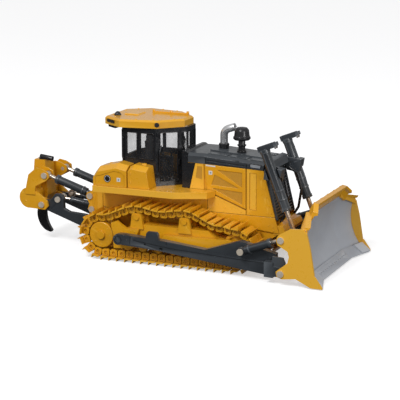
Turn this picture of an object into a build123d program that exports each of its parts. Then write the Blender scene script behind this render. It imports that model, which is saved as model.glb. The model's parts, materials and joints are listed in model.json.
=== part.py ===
"""Toy crawler bulldozer, a 1:50 die-cast model: one STEP file for each sub-part.

Millimetres. +X points forward to the blade, +Y to the machine's left, +Z up.
The origin is on the ground, under the middle of the overall box.
"""
import os
from math import atan2, ceil, cos, degrees, hypot, pi, sin

from build123d import *

# ---- driving dimensions -------------------------------------------------------------------
REAR_X, FRONT_X = -86.3, 86.3        # ripper's end plate and the blade's end bit
FIT = 0.05                           # radial clearance of a running fit

TRACK_Y = 21.9                       # middle of a track
PITCH = 4.32                         # distance between track pins
SHOE_WIDTH = 13.0
RAIL_OUTER = 4.06                    # outer face of a link rail, from the track's middle
RAIL_THICK = 1.3
PIN_HEIGHT = 3.45                    # pin line of the bottom run above the ground
SPROCKET = (-32.7, 12.3)             # x, z of the drive sprocket's axle
SPROCKET_R = SPROCKET[1] - PIN_HEIGHT
IDLER = (38.3, 11.9)
IDLER_R = IDLER[1] - PIN_HEIGHT
CARRIERS = {"rear": (-13.5, 22.8), "front": (11.9, 22.8)}
CARRIER_R, CARRIER_AXLE_R, IDLER_AXLE_R = 2.2, 0.8, 1.5

TRACK_PIN_R = 0.8

ARM_PIVOT = (-20.1, 12.7)            # push arm trunnion
BLADE_PIVOT = (65.8, 5.8)            # blade on the push arms
TILT_REAR, TILT_FRONT = (45.3, 14.0), (65.8, 21.8)
LIFT_TRUNNION, LIFT_EYE = (53.4, 47.9), (65.4, 17.6)
LIFT_Y = 15.7
TILT_Y = 35.6
ARM_PIN_R, BLADE_PIN_R, TILT_PIN_R = 1.6, 1.0, 1.0
BLADE_HALF = 38.6                    # half of the blade's width
WING_START = 22.0                    # where the blade's wings turn forward
WING_RUN = 4.5                       # how far forward a wing reaches
WING_SLOPE = 0.24                    # fall of a wing's top edge towards the blade's end
BLADE_TOP = 31.2
WING_SPAN = BLADE_HALF - 1.2 - WING_START   # a wing's width, up to the end plate
WING_SLANT = WING_RUN / WING_SPAN    # forward lean of a wing in plan

RIPPER_ARM = (-47.4, 12.8)           # draft arm on the chassis
RIPPER_LINK = (-45.2, 28.2)          # upper cylinder on the chassis
BEAM_LOWER, BEAM_UPPER = (-73.5, 21.0), (-71.3, 36.4)
DIG_REAR, DIG_FRONT = (-65.0, 24.1), (-44.3, 21.5)
LINK_Y, DIG_Y, DRAFT_Y = 10.0, 5.5, 9.65
DRAFT_PIN_R, LINK_PIN_R, DIG_PIN_R = 1.2, 1.0, 0.9

EXHAUST, INTAKE = (21.2, 2.0), (31.9, -1.5)
HULL_Y = 13.5                        # half width of the engine housing
PLATFORM_Z = 36.8                    # top of the fenders
ROOF_Z = (65.5, 69.4)

os.makedirs("parts", exist_ok=True)
MIN = (Align.CENTER, Align.CENTER, Align.MIN)
nodes = {}


# ---- helpers ------------------------------------------------------------------------------
def side(points, y_low, y_high, radius=0):
    """A slab with an XZ outline, from y_low to y_high, its corners rounded by radius."""
    sketch = make_face(Polyline(*points, close=True))
    if radius:
        sketch = fillet(sketch.vertices(), radius)
    return Pos(0, y_high, 0) * extrude(Plane.XZ * sketch, amount=y_high - y_low)


def plan(points, z_low, z_high):
    """A slab with an XY outline, from z_low to z_high."""
    sketch = make_face(Polyline(*points, close=True))
    return Pos(0, 0, z_low) * extrude(sketch, amount=z_high - z_low)


def block(x0, x1, y0, y1, z0, z1):
    corner = (Align.MIN, Align.MIN, Align.MIN)
    return Pos(x0, y0, z0) * Box(x1 - x0, y1 - y0, z1 - z0, align=corner)


def disc(point, radius, y_low, y_high):
    """A cylinder along Y about the XZ point."""
    cylinder = Rot(-90, 0, 0) * Cylinder(radius, y_high - y_low, align=MIN)
    return Pos(point[0], y_low, point[1]) * cylinder


def bar(start, end, radius):
    """A cylinder from one 3D point to another."""
    run = Vector(*end) - Vector(*start)
    return Plane(origin=start, z_dir=run).location * Cylinder(radius, run.length, align=MIN)


def along(start, end, distance):
    """The XZ point that lies a distance from start towards end."""
    length = hypot(end[0] - start[0], end[1] - start[1])
    return tuple(a + (b - a) * distance / length for a, b in zip(start, end))


def at_y(point, y):
    return (point[0], y, point[1])


def ring(count, start=0.0):
    return [start + 2 * pi * i / count for i in range(count)]


def both_ways(points):
    """A closed XY outline from its right half, listed from rear to front."""
    return points + [(x, -y) for x, y in reversed(points)]


def add(name, *shapes):
    solids = [solid for shape in shapes for solid in shape.solids()]
    nodes.setdefault(name, []).extend(solids)


def add_pair(name, *shapes):
    """Shapes of the right side, and their mirror images on the left."""
    add(name + "_right", *shapes)
    add(name + "_left", *[mirror(shape, about=Plane.XZ) for shape in shapes])


def add_both(name, *shapes):
    """Right and left copies together in one node."""
    add(name, *shapes, *[mirror(shape, about=Plane.XZ) for shape in shapes])


# ---- tracks -------------------------------------------------------------------------------
def ease(low, high, part):
    return low + (high - low) * (1 - cos(pi * part)) / 2


def track_line(step=0.2):
    """The pin line as closely spaced points: bottom run, idler, sagging top run, sprocket."""
    points = [(SPROCKET[0] + i * step, PIN_HEIGHT)
              for i in range(int((IDLER[0] - SPROCKET[0]) / step))]
    turns = 120
    for i in range(turns):
        angle = -pi / 2 + pi * i / turns
        points.append((IDLER[0] + IDLER_R * cos(angle), IDLER[1] + IDLER_R * sin(angle)))
    crests = [(IDLER[0], IDLER[1] + IDLER_R), (30.0, 21.4), (12.2, 27.0), (-0.5, 25.5),
              (-12.4, 27.0), (SPROCKET[0], SPROCKET[1] + SPROCKET_R)]
    for (x0, z0), (x1, z1) in zip(crests, crests[1:]):
        count = ceil((x0 - x1) / step)
        points += [(x0 + (x1 - x0) * i / count, ease(z0, z1, i / count)) for i in range(count)]
    for i in range(turns):
        angle = pi / 2 + pi * i / turns
        points.append((SPROCKET[0] + SPROCKET_R * cos(angle),
                       SPROCKET[1] + SPROCKET_R * sin(angle)))
    return points + [points[0]]


def link_places():
    """Even stations along the pin line, each with the direction of the track there."""
    points = track_line()
    lengths = [0.0]
    for (x0, z0), (x1, z1) in zip(points, points[1:]):
        lengths.append(lengths[-1] + hypot(x1 - x0, z1 - z0))
    count = round(lengths[-1] / PITCH)
    places, i = [], 0
    for k in range(count):
        goal = (k + 0.5) * lengths[-1] / count
        while lengths[i + 1] < goal:
            i += 1
        (x0, z0), (x1, z1) = points[i], points[i + 1]
        run = lengths[i + 1] - lengths[i]
        part = (goal - lengths[i]) / run
        direction = ((x1 - x0) / run, (z1 - z0) / run)
        places.append(((x0 + (x1 - x0) * part, z0 + (z1 - z0) * part), direction))
    return places


def track_link():
    """One link about its pin: two rails with a bored boss, and a shoe with its grouser."""
    half, foot, crown = 1.92, -1.6, 1.85
    boss_r, boss = 1.3, 0.2
    square = [(-half, foot), (half, foot), (half, crown), (-half, crown)]
    link = side([(1.85, -1.5), (-1.9, -1.5), (-1.9, -PIN_HEIGHT), (-1.55, -PIN_HEIGHT),
                 (-1.25, -2.2), (1.5, -2.2), (1.85, -1.9)], -SHOE_WIDTH / 2, SHOE_WIDTH / 2)
    for sign in (-1, 1):
        low, high = sorted((sign * RAIL_OUTER, sign * (RAIL_OUTER - RAIL_THICK)))
        rail = side(square, low, high) & disc((0, -0.3), 2.4, low, high)
        low, high = sorted((sign * (RAIL_OUTER - RAIL_THICK), sign * (RAIL_OUTER + boss)))
        link += rail + disc((0, 0), boss_r, low, high)
        link -= disc((0, 0), TRACK_PIN_R + FIT, low - 1, high + 1)
    return link


def tracks():
    link = track_link()
    half_pin = RAIL_OUTER - 0.45
    pin = disc((0, 0), TRACK_PIN_R, -half_pin, half_pin)
    for (x, z), (dx, dz) in link_places():
        plane = Plane(origin=(x, -TRACK_Y, z), x_dir=(dx, 0, dz), z_dir=(-dz, 0, dx))
        add_pair("track_chain", plane.location * link)
        add_both("track_pins", plane.location * pin)


# ---- undercarriage ------------------------------------------------------------------------
def sprockets():
    teeth, root, tip = 13, 6.9, 7.7
    outline = []
    for angle in ring(teeth):
        for turn, radius in ((-0.13, root), (-0.05, tip), (0.05, tip), (0.13, root)):
            outline.append((SPROCKET[0] + radius * cos(angle + turn),
                            SPROCKET[1] + radius * sin(angle + turn)))
    axle_r = 2.0
    half_tooth = 1.2
    wheel = side(outline, -TRACK_Y - half_tooth, -TRACK_Y + half_tooth)
    wheel -= disc(SPROCKET, axle_r + FIT, -30, -15)
    hub = disc(SPROCKET, 6.5, -26.3, -23.2) - disc(SPROCKET, axle_r + FIT, -24.6, -20)
    rim = [edge for edge in hub.edges().filter_by(GeomType.CIRCLE)
           if edge.center().Y < -26.2 and edge.radius > 6]
    hub = fillet(rim, 0.5)
    hub += disc(SPROCKET, axle_r, -27.3, -26.0)
    add_pair("sprocket", wheel, hub)
    drive = disc(SPROCKET, 6.2, -19.6, -HULL_Y) + disc(SPROCKET, axle_r, -24.3, -19.0)
    add_both("chassis", drive)


def idlers():
    """Each idler has a sunk ring in both faces, between its hub and its rim."""
    face_out, face_in, depth = -24.2, -19.6, 0.9
    hub_r, rim_r, tread_r = 2.6, 5.6, 7.2
    wheel = disc(IDLER, tread_r, face_out, face_in)
    wheel -= disc(IDLER, IDLER_AXLE_R + FIT, -30, -15)
    for low, high in ((face_out, face_out + depth), (face_in - depth, face_in)):
        wheel -= disc(IDLER, rim_r, low, high) - disc(IDLER, hub_r, low, high)
    add_pair("idler", wheel)


def carriers():
    for place, centre in CARRIERS.items():
        roller = disc(centre, CARRIER_R, -24.0, -19.8)
        roller -= disc(centre, CARRIER_AXLE_R + FIT, -30, -15)
        add_pair("carrier_roller_" + place, roller)


def carrier_brackets():
    brackets = []
    for centre in CARRIERS.values():
        x, z = centre
        cheek = [(x - 3.5, 17.0), (x + 3.5, 17.0), (x + 2.5, 24.3), (x + 1.6, 24.9),
                 (x - 1.6, 24.9), (x - 2.5, 24.3)]
        bracket = side(cheek, -26.0, -24.35) + side(cheek, -19.45, -18.0)
        bracket += disc(centre, CARRIER_AXLE_R, -24.5, -19.3) + disc(centre, 1.35, -26.7, -25.9)
        brackets.append(bracket)
    return brackets


def track_frames():
    beam_outline = [(-23.5, 7.2), (26.0, 7.2), (33.5, 9.0), (41.0, 9.4), (41.5, 12.5),
                    (39.5, 14.9), (35.3, 16.0), (27.5, 16.0), (24.0, 19.3), (-13.0, 19.3),
                    (-20.5, 16.4), (-24.0, 10.5)]
    beam = side(beam_outline, -25.2, -18.0)
    beam -= disc(IDLER, 7.7, -24.55, -19.2)
    beam -= disc(SPROCKET, 8.2, -30, -15)
    beam += disc(IDLER, IDLER_AXLE_R, -24.8, -18.8)
    guard_outline = [(1.3, 15.4), (-2.0, 10.4), (28.1, 10.0), (37.0, 11.4), (38.6, 13.2),
                     (37.8, 15.3), (35.3, 16.2)]
    beam += side(guard_outline, -26.8, -25.0)
    trunnion_pad = [(-25.6, 6.4), (-15.5, 7.2), (-12.0, 17.0), (-18.9, 17.0), (-24.0, 20.2),
                    (-27.0, 19.0)]
    beam += side(trunnion_pad, -26.9, -25.0) - disc(SPROCKET, 7.0, -30, -15)
    beam += disc(ARM_PIVOT, ARM_PIN_R, -32.4, -26.8)
    for bracket in carrier_brackets():
        beam += bracket
    rollers = []
    first_x, spacing, roller_r, beam_foot = -19.0, 8.2, 2.3, 7.2
    for i in range(7):
        x = first_x + spacing * i
        above = block(x - 4, x + 4, -30, -15, beam_foot, 12)
        rollers.append(disc((x, 7.7), roller_r, -24.9, -18.9) - above)
    add_pair("track_frame", beam, *rollers)


# ---- chassis ------------------------------------------------------------------------------
def chassis():
    hull_outline = [(-38.0, 12.0), (-30.0, 7.5), (40.0, 7.5), (47.0, 12.0), (55.0, 17.5),
                    (50.0, 21.0), (40.0, 26.0), (-38.0, 33.0)]
    core_outline = [(8.0, 30.0), (22.0, 24.0), (51.0, 20.0), (46.3, 48.2), (8.0, 49.6)]
    hull = side(hull_outline, -12.6, 12.6) + side(core_outline, -12.6, 12.6)
    add("chassis", hull)
    skirt_outline = [(-37.8, 33.5), (-37.8, 23.8), (-24.0, 20.5), (22.0, 20.5), (41.0, 19.6),
                     (55.9, 18.3), (53.6, 26.0), (18.7, 26.0), (18.7, 33.5)]
    add_both("side_skirts", side(skirt_outline, -HULL_Y, -12.6))
    screws = []
    base_z, head_r, slot_half, slot_width = 7.5, 1.5, 1.1, 0.4
    for x, y in ((-25, -7), (-25, 7), (35, -7), (35, 7)):
        head = bar((x, y, base_z), (x, y, base_z - 0.5), head_r)
        slot = block(x - slot_half, x + slot_half, y - slot_width / 2, y + slot_width / 2,
                     base_z - 1.5, base_z - 0.25)
        screws.append(head - slot)
    add("base_screws", *screws)
    nose = side([(44.0, 17.8), (57.5, 17.6), (58.0, 20.5), (56.0, 23.6), (46.0, 23.0)], -10, 10)
    nose += side([(53.0, 17.6), (58.0, 17.6), (58.8, 19.6), (57.6, 22.0), (53.0, 22.0)], -13, 13)
    add("front_crossbar", nose - side([(44, 17), (54.6, 17), (52, 24), (44, 24)], -12.65, 12.65))


def fenders():
    """A tray over each track, open below, and the floor between them."""
    depth, sheet = 3.2, 1.2
    outline = [(-37.5, -13.55), (-37.5, -26.0), (6.0, -26.0), (21.0, -19.5), (23.0, -13.55)]
    deck = plan(outline, PLATFORM_Z - depth, PLATFORM_Z)
    inner = [(-36.3, -14.6), (-36.3, -24.8), (5.8, -24.8), (20.0, -18.7), (21.4, -14.6)]
    deck -= plan(inner, PLATFORM_Z - depth - 1, PLATFORM_Z - sheet)
    add_both("fenders", deck)
    floor = plan(both_ways([(-37.5, -13.5), (8.0, -13.5)]), PLATFORM_Z - depth, PLATFORM_Z)
    add("fenders", floor)


def rear_bracket():
    """The ripper's mounting: a block with cheeks that carry three pins on each side."""
    back = block(-41.0, -38.0, -HULL_Y, HULL_Y, 9.5, 32.0)
    cheek_outline = [(-41.0, 9.6), (-49.2, 10.6), (-49.2, 15.0), (-45.0, 18.8), (-46.6, 21.5),
                     (-45.6, 24.2), (-47.4, 27.5), (-47.0, 29.8), (-45.0, 30.6), (-41.0, 32.0)]
    cheek = side(cheek_outline, -13.4, -12.5)
    inner_outline = [(-41.0, 9.6), (-49.2, 10.6), (-49.2, 15.0), (-45.0, 18.8), (-46.6, 21.5),
                     (-45.6, 24.0), (-41.0, 25.6)]
    middle = side(inner_outline, -8.15, -7.3)
    link_cheek = side([(-41, 25), (-45.6, 24.4), (-47.4, 27.5), (-47, 29.8), (-45, 30.6),
                       (-41, 32)], -8.15, -7.3)
    inner = side(inner_outline, -3.4, -2.6)
    frame = back
    for part in (cheek, middle, link_cheek, inner):
        frame += part + mirror(part, about=Plane.XZ)
    add("rear_frame", frame)
    for point, low, radius in ((RIPPER_ARM, -2.6, DRAFT_PIN_R), (RIPPER_LINK, -7.3, LINK_PIN_R),
                               (DIG_FRONT, -2.6, LINK_PIN_R)):
        pin = disc(point, radius, -13.4, low)
        head = disc(point, 1.55, -14.1, -13.4)
        add_both("chassis_pins", pin + head)


# ---- tanks and boxes on the fenders -------------------------------------------------------
def tank(outline, rise, y_outer=-25.2, y_shoulder=-21.8, y_inner=-14.0):
    """A box whose top slopes up from its outer face to a shoulder, then runs in level."""
    raised = [(x, z + rise if z > PLATFORM_Z + 0.5 else z) for x, z in outline]
    faces = []
    for points, y in ((outline, y_outer), (raised, y_shoulder)):
        faces.append(Wire.make_polygon([(x, y, z) for x, z in points], close=True))
    return Solid.make_loft(faces, ruled=True) + side(raised, y_shoulder, y_inner)


def tanks():
    fuel_outline = [(-37.4, PLATFORM_Z), (-37.4, 40.6), (-34.9, 43.8), (-24.8, 46.2),
                    (-19.3, 45.2), (-19.3, PLATFORM_Z)]
    fuel = tank(fuel_outline, rise=2.2)
    panel = [(-36.0, 37.4), (-36.0, 41.5), (-33.6, 42.0), (-26.0, 44.6), (-22.6, 44.2),
             (-20.4, 42.8), (-20.4, 37.4)]
    fuel -= side(panel, -26.0, -24.9)
    add_both("fuel_tanks", fuel)
    box_outline = [(-18.9, PLATFORM_Z), (-18.9, 45.0), (-16.6, 46.2), (-9.0, 45.2),
                   (-7.4, PLATFORM_Z)]
    add_both("battery_boxes", tank(box_outline, rise=1.9, y_outer=-24.4, y_shoulder=-21.0))


# ---- engine housing -----------------------------------------------------------------------
def engine():
    rear_panel = [(9.4, PLATFORM_Z), (16.8, PLATFORM_Z), (16.6, 49.4), (12.3, 49.4)]
    vent = [(13.3, 48.0), (15.9, 48.0), (15.9, 41.6), (12.5, 42.4)]
    add_both("engine_panels", side(rear_panel, -13.2, -12.6) - side(vent, -14, -12.95))
    door = side([(17.1, 49.4), (18.8, 36.3), (38.7, 28.9), (38.5, 48.7)], -HULL_Y, -12.6)
    windows = [[(24.0, 46.9), (36.7, 46.5), (36.7, 39.4)],
               [(22.6, 44.6), (34.8, 38.9), (20.9, 39.6)],
               [(21.2, 37.9), (36.9, 36.9), (36.9, 31.0)]]
    for points in windows:
        door -= side(points, -15, -13.0)
    add_both("engine_doors", door)
    lower = [(18.95, 35.6), (18.95, 26.2), (38.8, 26.2), (38.8, 28.3)]
    add_both("engine_panels", side(lower, -HULL_Y, -12.6))
    front = [(39.2, 48.7), (39.2, 26.2), (53.6, 26.2), (52.0, 32.6), (47.7, 48.3)]
    panel = side(front, -HULL_Y, -12.6)
    strip = [(40.6, 47.0), (40.6, 28.9), (44.3, 28.5), (44.3, 46.8)]
    panel -= side(strip, -15, -13.2)
    inset = [(x + (0.35 if x < 42 else -0.35), z + (0.35 if z < 40 else -0.35)) for x, z in strip]
    panel += side(inset, -13.35, -13.1)
    stud_r, half_gap = 0.28, 0.7
    for x, z in ((46.6, 44.0), (47.6, 39.6), (48.6, 35.4), (49.9, 31.0), (51.0, 28.0)):
        for stud_x in (x - half_gap, x + half_gap):
            panel += disc((stud_x, z), stud_r, -13.75, -13.4)
    add_both("engine_panels", panel)


def hood():
    """The lid over the engine: side grooves, seams and vents, and a raised spine on top."""
    break_x, break_z, front_x, front_z = 17.0, 54.4, 48.0, 52.2
    outline = [(8.5, 49.8), (8.5, break_z), (break_x, break_z), (front_x, front_z), (47.5, 48.6)]
    top = side(outline, -HULL_Y, HULL_Y)
    long_edges = [edge for edge in top.edges() if abs(edge.center().Y) > HULL_Y - 0.1
                  and edge.center().Z > 51.5 and edge.length > 8]
    top = chamfer(long_edges, 1.4)
    cuts = [side([(40.7, 49.3), (40.7, 51.5), (46.6, 51.1), (46.2, 49.1)], -15, 0.3 - HULL_Y)]
    groove_y = 0.4 - HULL_Y
    groove_rear, groove_front, seam_half = 18.4, 38.2, 0.2
    drop = (break_z - front_z) / (front_x - break_x) * (groove_front - groove_rear)
    for z_low, z_high in ((51.0, 51.7), (49.95, 50.4)):
        cuts.append(side([(groove_rear, z_low), (groove_rear, z_high),
                          (groove_front, z_high - drop), (groove_front, z_low - drop)],
                         -15, groove_y))
    for x, z_top in ((17.7, 52.5), (39.0, 51.0)):
        cuts.append(block(x - seam_half, x + seam_half, -15, groove_y, 48, z_top))
    for cut in cuts:
        top -= cut + mirror(cut, about=Plane.XZ)
    add("hood", top)
    spine = side([(17.0, 54.2), (17.0, 55.3), (44.0, 53.3), (44.0, 52.3)], -5.5, 5.5)
    add("hood", spine - side([(17, 52), (17, 54.4), (48, 52.2), (48, 50)], -6, 6))


def cab_cowl():
    """The dark wall between the cab and the engine, with a cover plate on each side."""
    front_x = 7.95
    wall = [(5.1, PLATFORM_Z), (front_x, PLATFORM_Z), (front_x, 49.75), (8.45, 49.75),
            (8.45, 54.0), (7.0, 55.0), (5.1, 55.0)]
    cowl = side(wall, -12.9, 12.9)
    plate = side([(6.0, PLATFORM_Z), (9.25, PLATFORM_Z), (12.1, 49.3), (8.4, 49.3), (7.4, 52.5),
                  (6.0, 52.5)], -13.3, -12.65)
    add("cab_cowl", cowl + plate + mirror(plate, about=Plane.XZ))


def grille():
    """The radiator guard: a frame with level ribs, leaning with the housing's front."""
    top, bottom = (46.7, 48.4), (52.6, 24.2)
    lean = degrees(atan2(bottom[0] - top[0], top[1] - bottom[1]))
    height = hypot(bottom[0] - top[0], top[1] - bottom[1])
    plane = Plane(origin=at_y(bottom, 0)).rotated((0, -lean, 0))
    width = 12.4
    sheet, rib_pitch, rib_size, post_size = 1.2, 1.45, 0.7, 1.0
    guard = Pos(sheet / 2, 0, height / 2) * Box(sheet, 2 * width, height)
    for i in range(int(height / rib_pitch)):
        guard += Pos(1.5, 0, 0.8 + i * rib_pitch) * Box(1.0, 2 * width - 2, rib_size)
    for y in (-width + post_size / 2, width - post_size / 2, 0):
        guard += Pos(1.7, y, height / 2) * Box(1.4, post_size, height)
    add("radiator_grille", plane.location * guard)
    cap = side([(47.9, 48.7), (48.3, 53.2), (50.9, 52.6), (51.6, 48.7)], -11.2, 11.2)
    add("hood", cap)


def stacks():
    x, y = EXHAUST
    pipe_r, bore_r = 1.9, 1.5
    sleeve = bar((x, y, 52.6), (x, y, 57.4), 2.45) - bar((x, y, 55.4), (x, y, 59), pipe_r)
    add("exhaust_sleeve", sleeve)
    path = FilletPolyline((x, y, 55.5), (x, y, 63.9), (x + 5.9, y, 66.0), radius=3.4)
    start = Plane(origin=(x, y, 55.5), z_dir=(0, 0, 1))
    pipe = sweep(start * Circle(pipe_r), path=path) - sweep(start * Circle(bore_r), path=path)
    add("exhaust_pipe", pipe)
    x, y = INTAKE
    stalk = Pos(x, y, 52.6) * Cylinder(2.3, 2.6, align=MIN)
    stalk += Pos(x, y, 55.1) * Cylinder(1.7, 5.3, align=MIN)
    stalk += Pos(x, y, 57.4) * Cylinder(2.1, 0.7, align=MIN)
    add("air_pre_cleaner", stalk)
    dome = [(0, 60.4), (3.7, 60.4), (4.2, 61.0), (4.2, 61.9), (3.8, 62.4), (3.5, 65.2),
            (2.6, 66.4), (0, 66.7)]
    profile = Plane.XZ * make_face(Polyline(*dome, close=True))
    add("air_pre_cleaner", Pos(x, y, 0) * revolve(profile, axis=Axis.Z))


def front_hoses():
    route = [(52.6, -9.0, 46.5), (57.0, -9.2, 44.0), (59.0, -9.6, 36.0), (57.6, -9.6, 27.0),
             (55.2, -9.4, 23.0)]
    path = FilletPolyline(*route, radius=2.4)
    start = Plane(origin=route[0], z_dir=Vector(*route[1]) - Vector(*route[0]))
    add_both("front_hoses", sweep(start * Circle(0.65), path=path))


# ---- cab ----------------------------------------------------------------------------------
CAB = [(-29.0, -9.0), (-25.8, -15.4), (-7.6, -15.9), (2.3, -7.2), (4.8, -4.9)]
CAB_WALL, CAB_FLOOR = 1.1, 1.2
CAB_Z = (PLATFORM_Z, ROOF_Z[0])


def wall_frame(first, second):
    """A plane on a cab wall, and the wall's length: x runs along it, y is up, z points out."""
    run = Vector(second[0] - first[0], second[1] - first[1], 0)
    return Plane(origin=(*first, 0), x_dir=run, z_dir=Vector(run.Y, -run.X, 0)), run.length


def wall_opening(first, second, start, end, z_low, z_high, depth=4.0, radius=0.7):
    """A cutter for a window that spans a part of a wall's length, from start to end."""
    frame, length = wall_frame(first, second)
    shape = Pos((start + end) / 2 * length, (z_low + z_high) / 2) * RectangleRounded(
        (end - start) * length, z_high - z_low, radius)
    return extrude(frame * shape, amount=depth / 2, both=True)


def cab_core(inset, z_low):
    """The space inside the cab's walls, set in from their outer faces, from z_low upwards."""
    outline = offset(make_face(Polyline(*both_ways(CAB), close=True)), -inset)
    return Pos(0, 0, z_low) * extrude(outline, amount=60)


def cab():
    outer = plan(both_ways(CAB), *CAB_Z)
    inner = cab_core(CAB_WALL, CAB_Z[0] + CAB_FLOOR)
    shell = outer - inner
    rear, back, middle, front, nose = CAB
    panes = [(rear, back, 0.2, 0.85, 49.5, 63.0), (back, middle, 0.13, 0.45, 50.0, 62.8),
             (back, middle, 0.52, 0.94, 50.0, 62.8), (middle, front, 0.17, 0.87, 39.0, 63.3),
             (front, nose, 0.12, 0.86, 50.5, 63.3)]
    glass = []
    for first, second, start, end, low, high in panes:
        for sign in (1, -1):
            ends = [(x, sign * y) for x, y in (first, second)]
            if sign < 0:
                ends, (start, end) = ends[::-1], (1 - end, 1 - start)
            opening = wall_opening(*ends, start, end, low, high)
            glass.append(opening & (outer - inner))
            shell -= opening
    for x, half_width, low in ((rear[0], 7.4, 49.5), (nose[0], 3.9, 55.5)):
        opening = block(x - 2, x + 2, -half_width, half_width, low, 63.0)
        glass.append(opening & (outer - inner))
        shell -= opening
    add("cab_shell", shell)
    keep, drop = cab_core(0.35, CAB_Z[0]), cab_core(0.75, CAB_Z[0])
    add("cab_glass", *[(pane & keep) - drop for pane in glass])


def cab_inside():
    """The seat with its headrest, the console in front and a lever box on each side."""
    floor_z = CAB_Z[0] + CAB_FLOOR
    seat = block(-17.5, -10.5, -3.2, 3.2, floor_z, 43.5)
    seat += block(-18.2, -10.0, -3.8, 3.8, 43.5, 45.5)
    seat += side([(-18.4, 45.2), (-15.8, 45.2), (-17.4, 56.5), (-19.4, 56.5)], -3.4, 3.4)
    seat += side([(-19.2, 56.2), (-17.3, 56.2), (-17.6, 59.0), (-19.2, 59.0)], -2.0, 2.0)
    add("operator_seat", seat)
    console_outline = [(-1.5, floor_z), (3.5, floor_z), (3.5, 49.5), (0.0, 51.5), (-1.5, 50.2)]
    console = side(console_outline, -4.2, 4.2)
    add("cab_controls", console)
    rests = block(-15.0, -8.0, -6.4, -4.6, floor_z, 48.0)
    lever = bar((-9.0, -5.5, 47.5), (-8.4, -5.5, 51.0), 0.45) + Pos(-8.4, -5.5, 51.2) * Sphere(0.8)
    add_both("cab_controls", rests + lever)


def roof():
    """The roof plate with lamps in its rim, a rail of studs and a beacon on top."""
    plate = [(-36.9, -11.7), (-25.6, -19.4), (-6.7, -16.0), (3.4, -5.6)]
    slab = plan(both_ways(plate), *ROOF_Z)
    rim = [edge for edge in slab.edges() if edge.center().Z > ROOF_Z[1] - 0.1]
    slab = chamfer(rim, 0.9)
    wall, length = wall_frame(plate[0], plate[1])
    lamp_place, sunk = wall * Pos(0.42 * length, 67.5), 0.5
    recess = extrude(lamp_place * Rectangle(7.2, 1.5), amount=sunk, both=True)
    slab -= recess + mirror(recess, about=Plane.XZ)
    add("cab_roof", slab)
    lamp = extrude(lamp_place * Rectangle(6.6, 1.1), amount=sunk, both=True)
    corner = Plane(origin=(-6.9, -15.9, 67.3), z_dir=(0.5, -1, 0))
    round_lamp = corner.location * Cylinder(1.15, 0.8)
    add_both("roof_lights", lamp, round_lamp - slab)
    rail_y, rail_top = (5.6, 6.8), 70.3
    rail = block(-19.0, 0.5, *rail_y, ROOF_Z[1], rail_top)
    for x in (-18.5, -9.0, 0.0):
        rail += Pos(x, sum(rail_y) / 2, rail_top) * Cylinder(0.7, 0.8, align=MIN)
    add("cab_roof", rail)
    base = Pos(-32.0, -7.5, ROOF_Z[1])
    beacon = base * Cylinder(1.7, 0.6, align=MIN) + base * Pos(0, 0, 0.4) * Sphere(1.5)
    beacon -= block(-40, -20, -12, 0, 60, ROOF_Z[1])
    add("roof_lights", beacon)
    liner = plan(both_ways([(-35.6, -10.8), (-30.0, -14.6), (-29.6, -9.2)]), 63.9, ROOF_Z[0])
    add("cab_shell", liner)


# ---- push arms, blade and their cylinders ---------------------------------------------------
def push_arms():
    """A box beam on each side, with engraved panel lines, a tab and the tongue for the blade."""
    outline = [(-21.6, 10.5), (2.0, 9.2), (60.8, 2.8), (61.4, 3.6), (61.4, 13.6), (46.5, 17.4),
               (43.3, 18.0), (25.5, 12.1), (4.6, 14.2), (-18.8, 15.5), (-21.8, 15.0)]
    outer_y, inner_y = -33.4, -29.6
    web_y = outer_y + 0.4
    arm = side(outline, outer_y, inner_y) + disc(ARM_PIVOT, 2.7, outer_y, inner_y)
    web = [(5.5, 12.5), (25.5, 11.3), (40.5, 10.5), (56.3, 9.6), (62.0, 9.4), (62.0, 19.0),
           (40.0, 19.0), (25.5, 12.8), (5.5, 15.0)]
    arm -= side(web, outer_y - 1, web_y)
    panel_line = [(-11.8, 13.3), (7.7, 11.1), (56.0, 8.9), (57.9, 4.7), (57.4, 4.7), (55.6, 8.5),
                  (7.7, 10.7), (-11.8, 12.9)]
    end_line = [(-13.9, 10.9), (-13.6, 10.9), (-13.2, 14.9), (-13.5, 14.9)]
    for line in (panel_line, end_line):
        arm -= side(line, outer_y - 1, outer_y + 0.3)
    arm -= disc(ARM_PIVOT, 1.9, outer_y - 1, outer_y + 0.3)
    arm += disc(ARM_PIVOT, 1.5, outer_y, outer_y + 0.4)
    tab = [(-5.6, 13.5), (-4.9, 17.3), (-4.1, 18.2), (0.4, 18.2), (1.3, 17.3), (1.8, 13.5)]
    arm += side(tab, outer_y, outer_y + 1.6)
    tongue = [(58.0, 3.8), (65.0, 3.7), (67.0, 4.4), (67.7, 6.0), (66.8, 7.6), (58.0, 9.6)]
    root = [(57.0, 3.2), (61.4, 3.0), (61.4, 10.5), (57.0, 10.5)]
    arm += side(tongue, -36.9, -34.4) + side(root, -36.9, -33.2)
    arm -= disc(ARM_PIVOT, ARM_PIN_R + FIT, -32.7, -20)
    arm -= disc(BLADE_PIVOT, BLADE_PIN_R + FIT, -40, -30)
    for x, z in ((-5.6, 11.7), (2.5, 10.4), (3.3, 10.3)):
        arm -= disc((x, z), 0.5, outer_y - 1, outer_y + 0.8)
    add_pair("push_arm", arm)
    pin = disc(TILT_REAR, TILT_PIN_R, -37.4, web_y) + disc(TILT_REAR, 1.6, -38.0, -37.4)
    add_both("tilt_rear_pins", pin)


def wing_extrude(outline):
    """An XZ outline as the blade's middle and as two wings that lean forward in plan."""
    face = Plane.XZ * make_face(outline)
    middle = Pos(0, WING_START, 0) * extrude(face, amount=2 * WING_START)
    run = Vector(WING_RUN, -WING_SPAN, 0)
    wing = extrude(Pos(0, -WING_START, 0) * face, amount=run.length, dir=run.normalized())
    return middle + wing + mirror(wing, about=Plane.XZ)


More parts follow.
